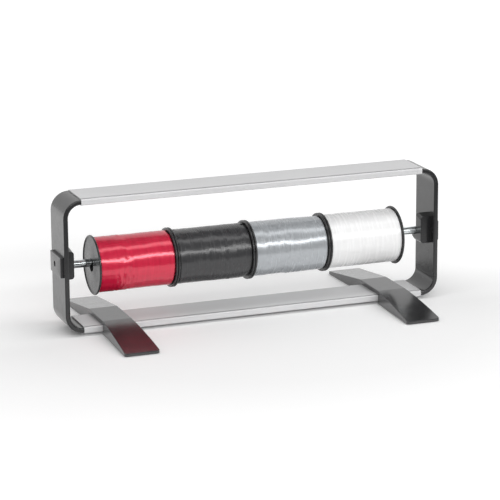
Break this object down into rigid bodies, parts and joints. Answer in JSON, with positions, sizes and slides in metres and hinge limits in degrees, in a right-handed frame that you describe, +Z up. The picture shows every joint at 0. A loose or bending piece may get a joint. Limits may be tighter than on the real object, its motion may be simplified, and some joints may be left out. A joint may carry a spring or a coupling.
{
  "type": "ribbon spool dispenser",
  "caption": "Free-standing counter frame of aluminium bars and black side brackets on wedge feet; a lift-out steel axle carries spools of curling ribbon that spin on it.",
  "frame": {"origin": "on the table, under the middle of the object", "axes": "+X along the axle from the left holder to the right one, +Y away from the user, +Z up"},
  "size_m": [0.5132, 0.264, 0.1763],
  "materials": {
    "anodised_aluminium": "satin anodised",
    "bracket_plastic": "satin black moulded",
    "foot_plastic": "glossy black moulded",
    "holder_plastic": "satin black moulded",
    "zinc_screw": "zinc plated",
    "black_screw": "black oxide",
    "axle_steel": "bright drawn",
    "pad_rubber": "matt",
    "spool_plastic": "glossy black moulded",
    "red_ribbon": "satin film ribbon",
    "black_ribbon": "glossy film ribbon",
    "silver_ribbon": "satin film ribbon",
    "white_ribbon": "pearl film ribbon"
  },
  "bodies": {
    "frame": {"top_bar": "anodised_aluminium", "bottom_bar": "anodised_aluminium", "left_side_bracket": "bracket_plastic", "right_side_bracket": "bracket_plastic", "bracket_screws": "zinc_screw", "left_foot": "foot_plastic", "right_foot": "foot_plastic", "foot_screws": "zinc_screw", "foot_pads": "pad_rubber", "left_holder_block": "holder_plastic", "right_holder_block": "holder_plastic", "left_holder_plate": "bracket_plastic", "right_holder_plate": "bracket_plastic", "left_holder_screw": "black_screw", "right_holder_screw": "black_screw"},
    "axle_unit": {"axle": "axle_steel"},
    "red_spool": {"red_spool_left_half": "spool_plastic", "red_spool_right_half": "spool_plastic", "red_ribbon_pack": "red_ribbon", "red_ribbon_turns": "red_ribbon"},
    "black_spool": {"black_spool_left_half": "spool_plastic", "black_spool_right_half": "spool_plastic", "black_ribbon_pack": "black_ribbon", "black_ribbon_turns": "black_ribbon"},
    "silver_spool": {"silver_spool_left_half": "spool_plastic", "silver_spool_right_half": "spool_plastic", "silver_ribbon_pack": "silver_ribbon", "silver_ribbon_turns": "silver_ribbon"},
    "white_spool": {"white_spool_left_half": "spool_plastic", "white_spool_right_half": "spool_plastic", "white_ribbon_pack": "white_ribbon", "white_ribbon_turns": "white_ribbon"}
  },
  "joints": [
    {"name": "axle_lift", "type": "slide", "parent": "frame", "child": "axle_unit", "axis": [0, 0, 1], "range_m": [0, 0.04]},
    {"name": "red_spool_spin", "type": "hinge", "parent": "axle_unit", "child": "red_spool", "pos_m": [-0.15785, 0.003, 0.08245], "axis": [1, 0, 0], "continuous": true},
    {"name": "black_spool_spin", "type": "hinge", "parent": "axle_unit", "child": "black_spool", "pos_m": [-0.05455, 0.003, 0.08245], "axis": [1, 0, 0], "continuous": true},
    {"name": "silver_spool_spin", "type": "hinge", "parent": "axle_unit", "child": "silver_spool", "pos_m": [0.04875, 0.003, 0.08245], "axis": [1, 0, 0], "continuous": true},
    {"name": "white_spool_spin", "type": "hinge", "parent": "axle_unit", "child": "white_spool", "pos_m": [0.15205, 0.003, 0.08245], "axis": [1, 0, 0], "continuous": true}
  ]
}
